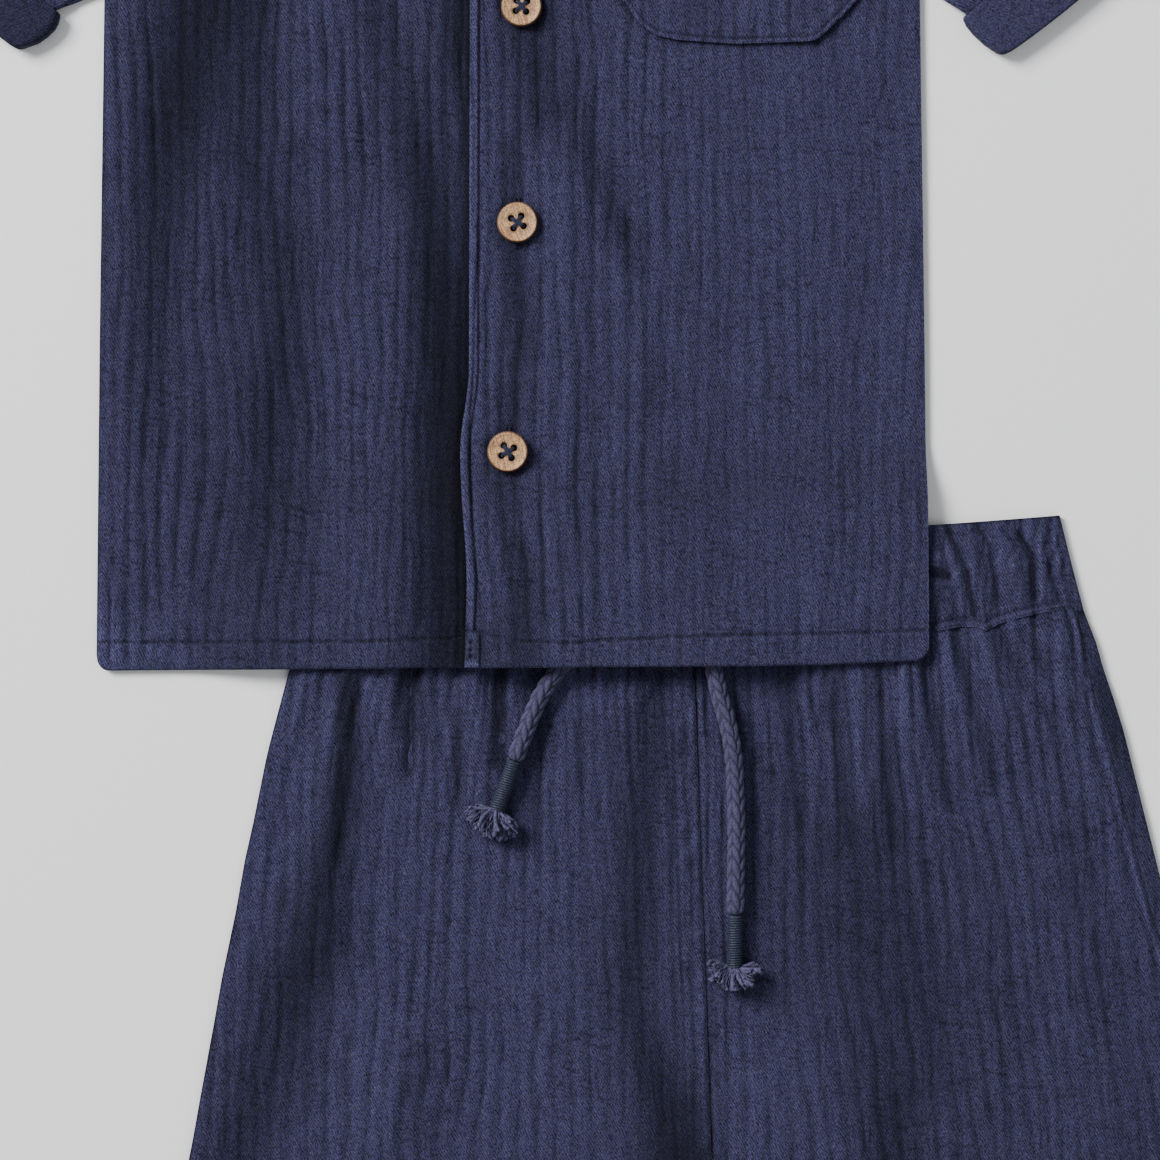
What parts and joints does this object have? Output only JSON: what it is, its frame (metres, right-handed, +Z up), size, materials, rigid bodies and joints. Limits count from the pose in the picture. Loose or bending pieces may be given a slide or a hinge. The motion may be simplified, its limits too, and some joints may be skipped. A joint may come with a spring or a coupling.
{
  "type": "shirt and shorts set laid flat",
  "caption": "Toddler's short-sleeved button shirt lying flat over drawstring shorts, in navy crinkled cotton.",
  "frame": {"origin": "on the surface under the middle of the set's box", "axes": "+Z up from the surface, +Y from the shorts' hems towards the collar, +X to the viewer's right"},
  "size_m": [0.5398, 0.6498, 0.0161],
  "materials": {
    "gauze": "matte crinkled double gauze",
    "cuff_gauze": "matte, pressed smooth",
    "cord": "braided cotton",
    "whipping": "wound thread",
    "coconut_wood": "satin"
  },
  "bodies": {
    "root": {"shirt_back": "gauze", "shirt_front_under": "gauze", "shirt_front_over": "gauze", "sleeve_left": "gauze", "sleeve_right": "gauze", "cuff_left": "cuff_gauze", "cuff_right": "cuff_gauze", "collar": "gauze", "chest_pocket": "gauze", "button_1": "coconut_wood", "button_2": "coconut_wood", "button_3": "coconut_wood", "button_4": "coconut_wood", "shorts_front_left": "gauze", "shorts_front_right": "gauze", "shorts_back_left": "gauze", "shorts_back_right": "gauze", "waistband": "gauze", "eyelet_left": "whipping", "eyelet_right": "whipping", "drawstring_left": "cord", "drawstring_right": "cord", "whipping_left": "whipping", "whipping_right": "whipping", "tuft_left": "cord", "tuft_right": "cord"}
  },
  "joints": []
}
